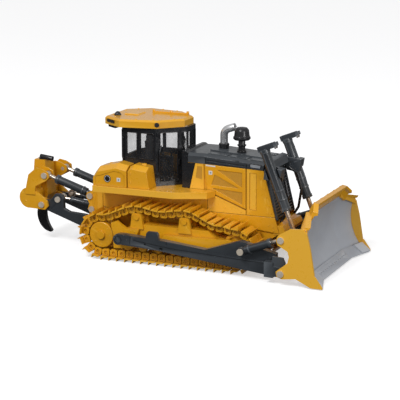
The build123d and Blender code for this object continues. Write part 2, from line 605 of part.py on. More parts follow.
def blade_sheet(front, back):
    """A curved sheet of the blade, between two depths behind its front face."""
    low, deep, high = [Vector(*point) for point in ((76.5, 4.2), (71.6, 17.0), (74.4, 31.0))]
    near, far = Vector(-front, 0), Vector(-back, 0)
    outline = [ThreePointArc(low + near, deep + near, high + near), Line(high + near, high + far),
               ThreePointArc(high + far, deep + far, low + far), Line(low + far, low + near)]
    sheet = wing_extrude(outline)
    slope = [(WING_START, 50), (60, 50), (60, BLADE_TOP - (60 - WING_START) * WING_SLOPE),
             (WING_START, BLADE_TOP)]
    above = Pos(60, 0, 0) * extrude(Plane.YZ * make_face(Polyline(*slope, close=True)), amount=40)
    return sheet - (above + mirror(above, about=Plane.XZ))


def blade():
    """The grey front sheet, and the board behind it with its ribs and the lift ears."""
    skin, back, ear_thick = 0.6, 2.2, 1.0
    board = blade_sheet(skin, back)
    rib_outline = [(70.0, 24.0), (68.2, 24.0), (67.6, 21.0), (68.0, 10.0), (69.4, 6.4),
                   (74.0, 5.0), (71.4, 10.0), (69.9, 17.0)]
    rib = side(rib_outline, -26.0, -24.6)
    board += rib + mirror(rib, about=Plane.XZ)
    ear_outline = [(70.3, 22.5), (67.4, 20.8), (63.9, 19.0), (63.9, 16.2), (66.6, 14.6),
                   (70.3, 12.8)]
    for offset_y in (-2.3, 1.3):
        ear_y = offset_y - LIFT_Y
        ear = side(ear_outline, ear_y, ear_y + ear_thick)
        board += ear + mirror(ear, about=Plane.XZ)
    add("blade_face", blade_sheet(0, skin))
    add("mouldboard", board)
    add_both("blade_pins", disc(LIFT_EYE, 0.7, -LIFT_Y - 2.9, -LIFT_Y + 2.9))


def spill_guard():
    """The lip on the blade's top: a turned-up middle, its sloping cheeks and a bar per wing."""
    section = [(73.0, 31.25), (74.6, 31.25), (76.6, 34.9), (78.3, 35.4), (78.5, 36.7),
               (76.0, 37.2)]
    guard = side(section, -WING_START, WING_START)
    guard_run, guard_fall = 4.4, 0.72
    run = Vector(WING_SLANT, -1, -guard_fall) * guard_run
    face = Plane.XZ * make_face(Polyline(*section, close=True))
    cheek = extrude(Pos(0, -WING_START, 0) * face, amount=run.length, dir=run.normalized())
    add("spill_guard", guard + cheek + mirror(cheek, about=Plane.XZ))
    lip = Plane.XZ * make_face(Polyline((74.6, 31.25), (72.6, 31.25), (72.6, 32.6), (75.4, 32.6),
                                        close=True))
    run = Vector(WING_SLANT, -1, -WING_SLOPE) * (WING_SPAN - 0.1)
    wing_lip = extrude(Pos(0, -WING_START, 0) * lip, amount=run.length, dir=run.normalized())
    add_both("spill_guard", wing_lip)


def end_plates():
    """The blade's side plates with their toes, and the pins on which the blade turns."""
    outline = [(70.1, 27.6), (76.2, 28.0), (78.4, 26.2), (80.2, 19.0), (82.3, 6.6), (81.3, 4.4),
               (73.4, 4.2), (66.4, 3.4), (63.9, 4.4), (63.5, 6.8), (69.2, 11.4), (69.9, 14.3),
               (69.2, 16.8), (64.2, 19.6), (63.4, 22.0), (64.6, 24.2)]
    plate = side(outline, -BLADE_HALF, -BLADE_HALF + 1.2, radius=0.35)
    toe = [(73.0, 4.3), (80.6, 0.6), (FRONT_X, 0.5), (FRONT_X, 1.5), (82.7, 6.4), (80.0, 6.6)]
    plate += side(toe, -BLADE_HALF, -BLADE_HALF + 0.4)
    upper_r, head_r, head_y = 0.9, 1.6, -BLADE_HALF - 0.6
    plate -= disc(BLADE_PIVOT, BLADE_PIN_R, -40, -30) + disc(TILT_FRONT, upper_r, -40, -30)
    add_both("blade_end_plates", plate)
    for point, radius, inner_y in ((BLADE_PIVOT, BLADE_PIN_R, -34.2), (TILT_FRONT, upper_r, -34.4)):
        pin = disc(point, radius, -BLADE_HALF, inner_y) + disc(point, head_r, head_y, -BLADE_HALF)
        add_both("blade_pins", pin)


def cutting_edge():
    """The edge along the blade's foot, and a thicker bolted end bit on each wing."""
    low, top = (81.7, 0.5), (76.5, 4.3)
    edge = wing_extrude(Polyline(low, top, (75.6, 3.6), (74.9, 3.2), (80.3, 0.5), close=True))
    bit_section = [(80.2, 0.5), (81.4, 0.5), (81.6, 1.1), (77.2, 4.9), (76.4, 4.6), (75.6, 3.6)]
    bit_start, bit_end = 31.4, BLADE_HALF - 0.4
    face = Plane.XZ * make_face(Polyline(*bit_section, close=True))
    run = Vector(WING_SLANT, -1, 0) * (bit_end - bit_start)
    start = Pos(WING_SLANT * (bit_start - WING_START), -bit_start, 0)
    bit = extrude(start * face, amount=run.length, dir=run.normalized())
    across = Vector(0.59, 0, 0.81)
    hole_r, hole_pitch = 0.35, 1.3
    for i in range(4):
        for j in range(2):
            y = -33.0 - hole_pitch * i
            x = 78.6 + WING_SLANT * (-y - WING_START) + 1.5 * j
            hole_foot = Vector(x, y, 3.9 - hole_pitch * j)
            bit -= bar(hole_foot, hole_foot + across, hole_r)
    edge += bit + mirror(bit, about=Plane.XZ)
    count, half_row = 15, 20.0
    for i in range(count):
        y = half_row * (2 * i / (count - 1) - 1)
        edge -= Plane(origin=(78.9, y, 2.5), z_dir=across).location * Cylinder(hole_r, 3.0)
    add("cutting_edge", edge)


def cylinder_pair(start, end, y, barrel_r, rod_r, barrel_from, barrel_to, rod_from, stroke):
    """A hydraulic barrel and its rod along the line from start to end, in XZ, at a Y.

    The barrel and the rod begin at distances from start, and the bore leaves room for the stroke.
    """
    length = hypot(end[0] - start[0], end[1] - start[1])
    p = [at_y(along(start, end, d), y) for d in (barrel_from, barrel_to, rod_from, length)]
    barrel = bar(p[0], p[1], barrel_r)
    barrel += bar(at_y(along(start, end, barrel_to - 1.6), y), p[1], barrel_r + 0.25)
    barrel -= bar(at_y(along(start, end, rod_from - stroke), y),
                  at_y(along(start, end, barrel_to + 1), y), rod_r + FIT)
    rod = bar(p[2], p[3], rod_r)
    return barrel, rod


def lift_cylinders():
    """Each barrel turns on a trunnion in the yoke on the engine housing's front corner."""
    axis_y = -LIFT_Y
    barrel_r, rod_r, trunnion_r = 2.3, 1.15, 1.0
    barrel, rod = cylinder_pair(LIFT_TRUNNION, LIFT_EYE, axis_y, barrel_r, rod_r, -12.0, 18.7,
                                4.0, 12.5)
    barrel += disc(LIFT_TRUNNION, trunnion_r, axis_y + 1.8, axis_y + 4.3)
    cap = along(LIFT_TRUNNION, LIFT_EYE, -12.9)
    lean = degrees(atan2(LIFT_EYE[0] - LIFT_TRUNNION[0], LIFT_TRUNNION[1] - LIFT_EYE[1]))
    frame = Plane(origin=at_y(cap, axis_y)).rotated((0, -lean, 0))
    head = Pos(1.5, 0, 0.1) * Box(8.4, 3.8, 2.6)
    for y in (-1.2, 1.2):
        head += Pos(6.3, y, 0.2) * Box(1.8, 1.0, 1.8)
    barrel += frame.location * head
    barrel += frame.location * Pos(0, 0, -1.2) * Cylinder(2.6, 1.4)
    add_both("lift_barrels", barrel)
    eye_hole = 1.5
    eye = disc(LIFT_EYE, 2.2, axis_y - 0.8, axis_y + 0.8)
    rod = rod + eye - disc(LIFT_EYE, eye_hole, axis_y - 3, axis_y + 3)
    add_both("lift_rods", rod)
    x, z = LIFT_TRUNNION
    yoke = side([(x - 4.6, z - 3.0), (x + 3.6, z - 4.2), (x + 4.8, z + 2.4), (x - 4.0, z + 3.4)],
                axis_y - 0.9, -11.3)
    slot_top, slot_bottom = (along(LIFT_TRUNNION, LIFT_EYE, d) for d in (-9, 9))
    yoke -= bar(at_y(slot_top, axis_y), at_y(slot_bottom, axis_y), barrel_r + 0.85)
    yoke -= disc(LIFT_TRUNNION, trunnion_r + FIT, axis_y, axis_y + 6)
    yoke -= side([(40, 40), (51.9, 40), (47.9, 53.8), (40, 54)], -13.5, -10)
    add_both("lift_yokes", yoke)


def tilt_cylinders():
    barrel_r, rod_r = 2.0, 0.9
    barrel, rod = cylinder_pair(TILT_REAR, TILT_FRONT, -TILT_Y, barrel_r, rod_r, 2.3, 16.2, 7.0,
                                2.0)
    barrel += disc(TILT_REAR, barrel_r, -TILT_Y - 1.5, -TILT_Y + 1.5)
    barrel += bar(at_y(TILT_REAR, -TILT_Y), at_y(along(TILT_REAR, TILT_FRONT, 2.5), -TILT_Y), 1.4)
    barrel -= disc(TILT_REAR, TILT_PIN_R + FIT, -40, -30)
    add_both("tilt_barrels", barrel)
    rod += disc(TILT_FRONT, 1.9, -TILT_Y - 1.0, -TILT_Y + 1.0)
    rod -= disc(TILT_FRONT, 1.3, -40, -30)
    add_both("tilt_rods", rod)


# ---- ripper -------------------------------------------------------------------------------
def ripper_arms():
    outline = [(-75.0, 19.2), (-70.0, 17.4), (-51.5, 11.3), (-49.5, 10.4), (-46.2, 10.4),
               (-45.2, 13.0), (-46.4, 15.6), (-49.0, 17.6), (-58.5, 18.2), (-61.6, 19.6),
               (-61.9, 24.6), (-63.8, 27.0), (-66.4, 27.0), (-68.2, 24.6), (-69.4, 23.4),
               (-75.0, 23.2), (-75.8, 21.0)]
    outer_y = -DRAFT_Y - 1.15
    arm = side(outline, outer_y, -DRAFT_Y + 1.15)
    arm -= disc(RIPPER_ARM, DRAFT_PIN_R + FIT, -20, -5)
    arm -= disc(BEAM_LOWER, LINK_PIN_R + FIT, -20, -5)
    arm -= disc(DIG_REAR, DIG_PIN_R, -20, -5)
    add_both("ripper_arms", arm)
    pin = disc(DIG_REAR, DIG_PIN_R, outer_y, -3.6)
    pin += disc(DIG_REAR, 1.55, outer_y - 0.6, outer_y)
    add_both("ripper_mid_pins", pin)


def ripper_beam():
    """The cross beam with its end plates, the lugs for arms and cylinders, and the pocket."""
    drop = [(-84.5, 26.6), (-82.5, 28.9), (-79.5, 29.3), (-75.0, 26.6), (-70.4, 22.9),
            (-69.9, 20.4), (-71.6, 18.5), (-80.0, 18.7), (-84.0, 20.6)]
    plate = side(drop, -12.4, -11.2) + disc((REAR_X + 5.3, 24.0), 5.3, -12.4, -11.2)
    beam = side([(-84.8, 20.2), (-84.8, 27.4), (-82.6, 28.6), (-77.4, 28.6), (-76.3, 27.0),
                 (-76.3, 19.6), (-83.5, 19.2)], -11.3, 11.3)
    upper = [(-82.5, 28.0), (-80.6, 36.2), (-76.0, 40.2), (-72.4, 39.6), (-69.2, 38.0),
             (-68.8, 35.4), (-70.4, 33.8), (-76.6, 30.5), (-77.0, 28.0)]
    lower_lug = side([(-77.0, 19.6), (-72.0, 18.9), (-71.4, 21.0), (-72.4, 23.2), (-77.0, 24.6)],
                     -8.2, -7.2)
    outer_lug = side(upper, -13.0, -12.3)
    outer_lug += side([(-82.5, 26), (-82.5, 29), (-77, 29), (-77, 26)], -13.0, -11.2)
    for part in (plate, outer_lug, side(upper, -7.6, -6.8), lower_lug):
        beam += part + mirror(part, about=Plane.XZ)
    pocket = side([(-82.9, 27.5), (-81.4, 42.8), (-75.4, 42.8), (-74.0, 24.5), (-76.3, 19.6),
                   (-82.9, 19.6)], -4.6, 4.6)
    beam += pocket
    slot = side([(-82.2, 10), (-81.2, 50), (-76.8, 50), (-77.4, 10)], -1.3, 1.3)
    beam -= slot
    add("ripper_beam", beam)
    head_r = 1.55
    lower = disc(BEAM_LOWER, LINK_PIN_R, -12.4, -7.2) + disc(BEAM_LOWER, head_r, -13.1, -12.4)
    top = disc(BEAM_UPPER, LINK_PIN_R, -13.0, -6.8) + disc(BEAM_UPPER, head_r, -13.7, -13.0)
    add_both("ripper_beam_pins", lower, top)


def ripper_shank():
    """The curved tooth in the beam's pocket, and the stub of its pin puller beside it."""
    front_foot, front_top = (-77.5, 14.6), (-76.95, 41.5)
    rear_foot, rear_top = (-82.1, 16.0), (-81.2, 41.5)
    tip_low, tip_high, thick = (-74.6, 4.0), (-74.2, 4.9), 2.3
    edge = [Line(front_foot, front_top), Line(front_top, rear_top), Line(rear_top, rear_foot),
            Spline(rear_foot, (-81.9, 10.2), (-79.2, 5.9), tip_low), Line(tip_low, tip_high),
            Spline(tip_high, (-76.2, 8.2), (-77.2, 11.2), front_foot)]
    sketch = Plane.XZ * make_face(edge)
    add("ripper_shank", Pos(0, thick / 2, 0) * extrude(sketch, amount=thick))
    puller = bar((-78.6, -3.0, 44.2), (-71.6, -3.0, 43.4), 1.25)
    puller += block(-78.8, -76.0, -4.2, -1.8, 42.8, 43.8)
    add("ripper_shank", puller)


def ripper_cylinders():
    """The upper pair sets the beam's pitch; the lower pair lifts and digs."""
    barrel, rod = cylinder_pair(RIPPER_LINK, BEAM_UPPER, -LINK_Y, 2.05, 1.0, 3.6, 21.4, 8.0,
                                2.0)
    barrel += disc(RIPPER_LINK, 1.9, -LINK_Y - 1.6, -LINK_Y + 1.6)
    neck_end = at_y(along(RIPPER_LINK, BEAM_UPPER, 4.0), -LINK_Y)
    barrel += bar(at_y(RIPPER_LINK, -LINK_Y), neck_end, 1.4)
    barrel -= disc(RIPPER_LINK, LINK_PIN_R + FIT, -20, -5)
    rod += disc(BEAM_UPPER, 1.9, -LINK_Y - 1.6, -LINK_Y + 1.6)
    rod -= disc(BEAM_UPPER, 1.2, -20, -5)
    add_both("pitch_barrels", barrel)
    add_both("pitch_rods", rod)
    barrel, rod = cylinder_pair(DIG_FRONT, DIG_REAR, -DIG_Y, 1.55, 0.8, 2.8, 15.8, 8.5, 4.0)
    barrel += disc(DIG_FRONT, 1.8, -DIG_Y - 1.3, -DIG_Y + 1.3)
    barrel += bar(at_y(DIG_FRONT, -DIG_Y), at_y(along(DIG_FRONT, DIG_REAR, 3.0), -DIG_Y), 1.2)
    barrel -= disc(DIG_FRONT, LINK_PIN_R + FIT, -20, 0)
    rod += disc(DIG_REAR, 2.1, -DIG_Y - 0.9, -DIG_Y + 0.9)
    rod -= disc(DIG_REAR, 1.5, -20, 0)
    add_both("dig_barrels", barrel)
    add_both("dig_rods", rod)


for build in (tracks, sprockets, idlers, carriers, track_frames, chassis, fenders, rear_bracket,
              tanks, engine, hood, cab_cowl, grille, stacks, front_hoses, cab, cab_inside, roof,
              push_arms, blade, spill_guard, end_plates, cutting_edge, lift_cylinders,
              tilt_cylinders, ripper_arms, ripper_beam, ripper_shank, ripper_cylinders):
    build()

# Where a part sits on or around its neighbour, it is cut to that neighbour's shape.
SEATED = [("exhaust_sleeve", "hood"), ("air_pre_cleaner", "hood"), ("radiator_grille", "hood"),
          ("front_crossbar", "chassis"), ("front_crossbar", "side_skirts"),
          ("front_hoses", "front_crossbar"), ("front_hoses", "radiator_grille"),
          ("fuel_tanks", "cab_shell"), ("battery_boxes", "cab_shell"),
          ("rear_frame", "chassis_pins"), ("mouldboard", "blade_pins"),
          ("ripper_beam", "ripper_beam_pins"), ("ripper_shank", "ripper_beam"),
          ("spill_guard", "mouldboard"), ("spill_guard", "blade_face"),
          ("cutting_edge", "blade_face"), ("cutting_edge", "blade_end_plates"),
          ("cutting_edge", "mouldboard"), ("chassis", "rear_frame")]
for name, neighbour in SEATED:
    cut = []
    for solid in nodes[name]:
        for other in nodes[neighbour]:
            solid = solid - other
        cut += solid.solids()
    nodes[name] = cut

for name, solids in nodes.items():
    export_step(Compound(label=name, children=solids), f"parts/{name}.step")
print(len(nodes), "nodes")
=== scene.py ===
import json
from math import cos, hypot, pi, radians, sin

import bmesh
import bpy
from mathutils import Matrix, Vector


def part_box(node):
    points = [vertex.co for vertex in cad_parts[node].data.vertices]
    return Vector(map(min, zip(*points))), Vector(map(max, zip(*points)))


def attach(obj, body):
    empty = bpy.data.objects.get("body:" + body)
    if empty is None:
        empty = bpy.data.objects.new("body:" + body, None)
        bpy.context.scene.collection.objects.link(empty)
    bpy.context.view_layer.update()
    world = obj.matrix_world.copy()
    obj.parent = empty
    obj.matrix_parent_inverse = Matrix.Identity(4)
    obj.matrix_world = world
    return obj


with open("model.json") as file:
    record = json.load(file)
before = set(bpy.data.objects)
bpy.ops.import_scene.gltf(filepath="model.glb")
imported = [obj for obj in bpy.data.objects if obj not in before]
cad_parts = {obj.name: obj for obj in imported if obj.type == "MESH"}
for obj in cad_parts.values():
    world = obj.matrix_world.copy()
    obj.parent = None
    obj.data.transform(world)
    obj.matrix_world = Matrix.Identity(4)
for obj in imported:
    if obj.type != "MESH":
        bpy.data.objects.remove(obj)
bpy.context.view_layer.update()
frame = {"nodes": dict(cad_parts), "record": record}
nodes = frame["nodes"]
MM = 0.001

# ---- camera, light and floor ----------------------------------------------------------------
CAMERA_AT = (0.2941, -0.6745, 0.1931)
AZIMUTH, ELEVATION = radians(22.9), radians(12.7)
LENS, SENSOR = 135.9, 36.0
# the studio's brightness from straight down (0) over the horizon (0.5) to straight up (1)
STUDIO = [(0.0, 0.04), (0.46, 0.08), (0.53, 0.62), (0.72, 0.34), (1.0, 0.62)]
# each light's name, place, the point it faces, diameter in metres and power in watts
LIGHTS = [("key", (-0.10, -0.60, 0.62), (0, 0, 0.03), 0.30, 3.6),
          ("front_fill", (0.80, -0.45, 0.22), (0.07, 0, 0.02), 0.35, 2.4)]
FLOOR_HALF, FLOOR_COLOUR, FLOOR_GLOW = 3.0, (0.85, 0.85, 0.86, 1), 0.50


def make_camera():
    data = bpy.data.cameras.new("camera")
    data.lens, data.sensor_width = LENS, SENSOR
    camera = bpy.data.objects.new("camera", data)
    forward = Vector((-sin(AZIMUTH) * cos(ELEVATION), cos(AZIMUTH) * cos(ELEVATION),
                      -sin(ELEVATION)))
    camera.location = CAMERA_AT
    camera.rotation_euler = forward.to_track_quat("-Z", "Y").to_euler()
    bpy.context.scene.collection.objects.link(camera)
    bpy.context.scene.camera = camera


def area_light(name, place, target, size, power):
    data = bpy.data.lights.new(name, "AREA")
    data.shape, data.size, data.energy = "DISK", size, power
    light = bpy.data.objects.new(name, data)
    light.location = place
    light.rotation_euler = (Vector(target) - Vector(place)).to_track_quat("-Z", "Y").to_euler()
    bpy.context.scene.collection.objects.link(light)


def make_studio():
    """A studio that is dark below, bright at the horizon and the ceiling, with two soft lights."""
    world = bpy.data.worlds.new("studio")
    world.use_nodes = True
    tree = world.node_tree
    coords = tree.nodes.new("ShaderNodeTexCoord")
    split = tree.nodes.new("ShaderNodeSeparateXYZ")
    height = tree.nodes.new("ShaderNodeMapRange")
    tree.links.new(coords.outputs["Generated"], split.inputs[0])
    tree.links.new(split.outputs["Z"], height.inputs["Value"])
    height.inputs["From Min"].default_value = -1.0
    shades = tree.nodes.new("ShaderNodeValToRGB")
    tree.links.new(height.outputs["Result"], shades.inputs["Fac"])
    stops = shades.color_ramp.elements
    while len(stops) < len(STUDIO):
        stops.new(0.5)
    for stop, (place, level) in zip(stops, STUDIO):
        stop.position, stop.color = place, (level, level, level, 1)
    tree.links.new(shades.outputs["Color"], tree.nodes["Background"].inputs["Color"])
    bpy.context.scene.world = world
    for light in LIGHTS:
        area_light(*light)
    bpy.context.scene.view_settings.view_transform = "Standard"


def make_floor():
    """A matt pale floor that glows to stay white, without lighting the object."""
    bm = bmesh.new()
    bmesh.ops.create_grid(bm, x_segments=1, y_segments=1, size=FLOOR_HALF)
    mesh = bpy.data.meshes.new("floor")
    bm.to_mesh(mesh)
    bm.free()
    floor = bpy.data.objects.new("floor", mesh)
    bpy.context.scene.collection.objects.link(floor)
    material = bpy.data.materials.new("floor")
    material.use_nodes = True
    shader = material.node_tree.nodes["Principled BSDF"]
    shader.inputs["Base Color"].default_value = FLOOR_COLOUR
    shader.inputs["Roughness"].default_value = 0.8
    shader.inputs["Specular IOR Level"].default_value = 0.1
    shader.inputs["Emission Color"].default_value = (1, 1, 1, 1)
    shader.inputs["Emission Strength"].default_value = FLOOR_GLOW
    mesh.materials.append(material)
    floor.visible_diffuse = False
    floor.visible_glossy = False


# ---- materials --------------------------------------------------------------------------------
# a noise texture's values mostly lie between these
NOISE_LOW, NOISE_HIGH = 0.3, 0.7


class Shader:
    """A Principled material with short calls for the node work on it."""

    def __init__(self, name, **constants):
        self.material = bpy.data.materials.new(name)
        self.material.use_nodes = True
        self.tree = self.material.node_tree
        self.surface = self.tree.nodes["Principled BSDF"]
        self.coords = self.tree.nodes.new("ShaderNodeTexCoord")
        for socket, value in constants.items():
            self.surface.inputs[socket.replace("_", " ")].default_value = value

    def link(self, source, target):
        self.tree.links.new(source, target)

    def noise(self, scale, detail=4.0, roughness=0.55, stretch=(1, 1, 1)):
        mapping = self.tree.nodes.new("ShaderNodeMapping")
        mapping.inputs["Scale"].default_value = stretch
        self.link(self.coords.outputs["Object"], mapping.inputs["Vector"])
        node = self.tree.nodes.new("ShaderNodeTexNoise")
        node.inputs["Scale"].default_value = scale
        node.inputs["Detail"].default_value = detail
        node.inputs["Roughness"].default_value = roughness
        self.link(mapping.outputs["Vector"], node.inputs["Vector"])
        return node.outputs["Fac"]

    def ramp(self, source, low, high):
        """0 where the source is at low, 1 where it is at high."""
        node = self.tree.nodes.new("ShaderNodeMapRange")
        node.inputs["From Min"].default_value, node.inputs["From Max"].default_value = low, high
        self.link(source, node.inputs["Value"])
        return node.outputs["Result"]

    def span(self, source, low, high, to_low, to_high):
        result = self.ramp(source, low, high)
        result.node.inputs["To Min"].default_value = to_low
        result.node.inputs["To Max"].default_value = to_high
        return result

    def mix(self, factor, first, second):
        node = self.tree.nodes.new("ShaderNodeMix")
        node.data_type = "RGBA"
        for socket, value in (("A", first), ("B", second)):
            target = [s for s in node.inputs if s.name == socket and s.type == "RGBA"][0]
            if isinstance(value, bpy.types.NodeSocket):
                self.link(value, target)
            else:
                target.default_value = (*value, 1)
        self.link(factor, node.inputs["Factor"])
        return [s for s in node.outputs if s.type == "RGBA"][0]

    def clouds(self, scale, detail, main, shade, start=0.35):
        """One colour drifting into another."""
        return self.mix(self.ramp(self.noise(scale, detail), start, NOISE_HIGH), main, shade)

    def edges(self, low, high):
        """1 on sharp outer edges, 0 on flat faces."""
        geometry = self.tree.nodes.new("ShaderNodeNewGeometry")
        return self.ramp(geometry.outputs["Pointiness"], low, high)

    def painted_shade_mask(self, reach):
        """A mask for painted shade: 1 deep in corners and gaps, 0 on open faces, looking up to a
        reach in millimetres.
        """
        open_level, closed_level = 0.78, 0.30
        node = self.tree.nodes.new("ShaderNodeAmbientOcclusion")
        node.samples = 8
        node.inputs["Distance"].default_value = reach * MM
        return self.ramp(node.outputs["AO"], open_level, closed_level)

    def colour(self, source):
        self.link(source, self.surface.inputs["Base Color"])

    def roughness(self, source, low, high):
        levels = self.span(source, NOISE_LOW, NOISE_HIGH, low, high)
        self.link(levels, self.surface.inputs["Roughness"])

    def bump(self, source, strength, distance):
        node = self.tree.nodes.new("ShaderNodeBump")
        node.inputs["Strength"].default_value = strength
        node.inputs["Distance"].default_value = distance
        self.link(source, node.inputs["Height"])
        self.link(node.outputs["Normal"], self.surface.inputs["Normal"])


def enamel(name, main, shade, worn, painted_shade, rough, coat):
    """Sprayed enamel: cloudy tone, orange peel, paint thin on edges and painted shade darkening
    the corners.
    """
    shader = Shader(name, Coat_Weight=coat, Coat_Roughness=0.14, IOR=1.5)
    tone = shader.clouds(90, 5, main, shade)
    # corners and gaps are darkened towards a painted shade colour
    tone = shader.mix(shader.painted_shade_mask(reach=1.6), tone, painted_shade)
    shader.colour(shader.mix(shader.edges(0.53, 0.62), tone, worn))
    shader.roughness(shader.noise(420, 6, 0.6), rough - 0.06, rough + 0.08)
    orange_peel = shader.noise(1700, 3, 0.5)
    shader.bump(orange_peel, strength=0.16, distance=0.00006)
    return shader.material


def plated(name, main, shade, rough, metallic):
    """Bright metal: turning marks stretched along one way, faint stains."""
    shader = Shader(name, Metallic=metallic)
    shader.colour(shader.clouds(500, 4, main, shade))
    streaks = shader.noise(2600, 4, 0.6, stretch=(1, 0.1, 1))
    shader.roughness(streaks, rough - 0.05, rough + 0.1)
    turning_marks = shader.noise(5200, 2, 0.5, stretch=(1, 0.08, 1))
    shader.bump(turning_marks, strength=0.12, distance=0.00003)
    return shader.material


def moulded(name, main, shade, rough):
    """Moulded plastic or rubber: fine grain and a slightly uneven sheen."""
    shader = Shader(name)
    shader.colour(shader.clouds(260, 4, main, shade))
    shader.roughness(shader.noise(700, 5), rough - 0.06, rough + 0.1)
    grain = shader.noise(2600, 3)
    shader.bump(grain, strength=0.2, distance=0.00004)
    return shader.material


def glazing(name):
    """Smoked window moulding: mostly clear, with flow marks and faint dust."""
    shader = Shader(name, IOR=1.45)
    smoke, dust = (0.05, 0.052, 0.056), (0.09, 0.092, 0.10)
    shader.colour(shader.clouds(160, 3, smoke, dust, start=NOISE_LOW))
    cover = shader.span(shader.noise(120, 4), NOISE_LOW, NOISE_HIGH, 0.14, 0.22)
    shader.link(cover, shader.surface.inputs["Alpha"])
    shader.roughness(shader.noise(300, 4), 0.03, 0.12)
    flow_marks = shader.noise(220, 2)
    shader.bump(flow_marks, strength=0.1, distance=0.00006)
    return shader.material


# enamel: main tone, its clouds, thin edges, painted shade in corners, roughness, clear coat
# plated: main tone, its clouds, roughness, metallic; moulded: main tone, its clouds, roughness
RECIPES = [
    (enamel, "yellow_paint", (0.80, 0.385, 0.010), (0.75, 0.345, 0.008), (0.88, 0.47, 0.04),
     (0.36, 0.145, 0.006), 0.30, 0.4),
    (enamel, "slate_paint", (0.036, 0.043, 0.051), (0.027, 0.032, 0.038), (0.10, 0.112, 0.125),
     (0.012, 0.013, 0.016), 0.36, 0.3),
    (enamel, "blade_grey", (0.45, 0.475, 0.52), (0.41, 0.43, 0.475), (0.55, 0.57, 0.61),
     (0.24, 0.25, 0.27), 0.42, 0.12),
    (plated, "bright_metal", (0.74, 0.66, 0.55), (0.60, 0.52, 0.42), 0.30, 0.35),
    # the chrome rods' warm, brassy tone is a painted reflection of the yellow blade
    (plated, "chrome_rods", (0.80, 0.72, 0.62), (0.62, 0.52, 0.42), 0.16, 0.8),
    (moulded, "black_plastic", (0.010, 0.010, 0.012), (0.018, 0.018, 0.020), 0.24),
    (moulded, "cab_black", (0.009, 0.010, 0.012), (0.015, 0.016, 0.019), 0.22),
    (glazing, "cab_glazing"),
    (moulded, "seat_plastic", (0.014, 0.015, 0.017), (0.026, 0.027, 0.03), 0.55),
    (moulded, "lamp_plastic", (0.02, 0.02, 0.022), (0.035, 0.034, 0.034), 0.2),
    (moulded, "white_print", (0.74, 0.74, 0.73), (0.66, 0.66, 0.65), 0.45),
    (moulded, "vent_grey", (0.30, 0.325, 0.355), (0.25, 0.27, 0.30), 0.4),
    (enamel, "mesh_ochre", (0.50, 0.245, 0.016), (0.43, 0.205, 0.013), (0.60, 0.31, 0.03),
     (0.20, 0.085, 0.006), 0.45, 0.1),
    (plated, "silver_pipe", (0.78, 0.78, 0.79), (0.62, 0.62, 0.63), 0.24, 0.75),
]
MATERIALS = {name: make(name, *looks) for make, name, *looks in RECIPES}
# nodes and pieces that wear a material of their own within a slot
NODE_MATERIAL = {"exhaust_pipe": "silver_pipe", "cab_shell": "cab_black", "cab_cowl": "cab_black"}


# ---- the CAD nodes: softened edges and their paint ------------------------------------------
# how wide each node's edges are rounded, in millimetres
SOFT_EDGE = {"track_chain_right": 0.09, "track_chain_left": 0.09, "track_pins": 0.08,
             "cab_glass": 0.05, "radiator_grille": 0.1, "cutting_edge": 0.12, "chassis_pins": 0.18,
             "blade_pins": 0.18, "ripper_beam_pins": 0.18, "ripper_mid_pins": 0.18,
             "tilt_rear_pins": 0.18, "base_screws": 0.1, "front_hoses": 0.05,
             "exhaust_pipe": 0.06, "roof_lights": 0.1, "chassis": 0.3, "push_arm_right": 0.15,
             "push_arm_left": 0.15, "cab_roof": 0.35, "fuel_tanks": 0.4, "battery_boxes": 0.4}
DEFAULT_SOFT = 0.2
SOFT_ANGLE, SMOOTH_ANGLE = radians(32), radians(35)
WELD_DISTANCE = 1e-6


def soften(thing, width):
    """Die-cast edges: a small rounding on every sharp edge, with clean shading."""
    weld = thing.modifiers.new("weld", "WELD")
    weld.merge_threshold = WELD_DISTANCE
    bevel = thing.modifiers.new("soft_edges", "BEVEL")
    bevel.width, bevel.segments = width * MM, 2
    bevel.limit_method, bevel.angle_limit = "ANGLE", SOFT_ANGLE
    bevel.use_clamp_overlap = True
    bevel.harden_normals = True


def dress_frame():
    """Give every node its material and its soft edges."""
    slots = {row["node"]: row["material_slot"] for row in frame["record"]["subparts"]}
    for name, thing in nodes.items():
        material = MATERIALS[NODE_MATERIAL.get(name, slots[name])]
        thing.data.materials.clear()
        thing.data.materials.append(material)
        soften(thing, SOFT_EDGE.get(name, DEFAULT_SOFT))


# ---- detail pieces: millimetre meshes of the right side, mirrored to the left ---------------
UP, DOWN, OUTWARD = (0, 0, 1), (0, 0, -1), (0, -1, 0)


def turns(count):
    """Angles spaced evenly round a circle."""
    return [2 * pi * i / count for i in range(count)]


def rectangle(x, z, half_x, half_z):
    """An XZ outline round a middle."""
    return [(x - half_x, z - half_z), (x + half_x, z - half_z), (x + half_x, z + half_z),
            (x - half_x, z + half_z)]


def collar(radius, proud, slope, length):
    """A turned profile that steps up, runs level and steps down again."""
    top = radius + proud
    return [(radius, 0), (top, slope), (top, length - slope), (radius, length)]


def finish_piece(name, bm, material, body, mirrored=True, soft=0.0):
    """Turn a mesh in millimetres into a piece, with its mirror image if it has one."""
    if mirrored:
        copy = bmesh.ops.duplicate(bm, geom=bm.verts[:] + bm.edges[:] + bm.faces[:])["geom"]
        verts = [item for item in copy if isinstance(item, bmesh.types.BMVert)]
        bmesh.ops.scale(bm, vec=(1, -1, 1), verts=verts)
    bmesh.ops.recalc_face_normals(bm, faces=bm.faces[:])
    bmesh.ops.scale(bm, vec=(MM, MM, MM), verts=bm.verts[:])
    mesh = bpy.data.meshes.new(name)
    bm.to_mesh(mesh)
    bm.free()
    mesh.shade_smooth()
    mesh.set_sharp_from_angle(angle=SMOOTH_ANGLE)
    mesh.materials.append(MATERIALS[material])
    thing = bpy.data.objects.new(name, mesh)
    bpy.context.scene.collection.objects.link(thing)
    if soft:
        soften(thing, soft)
    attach(thing, body)


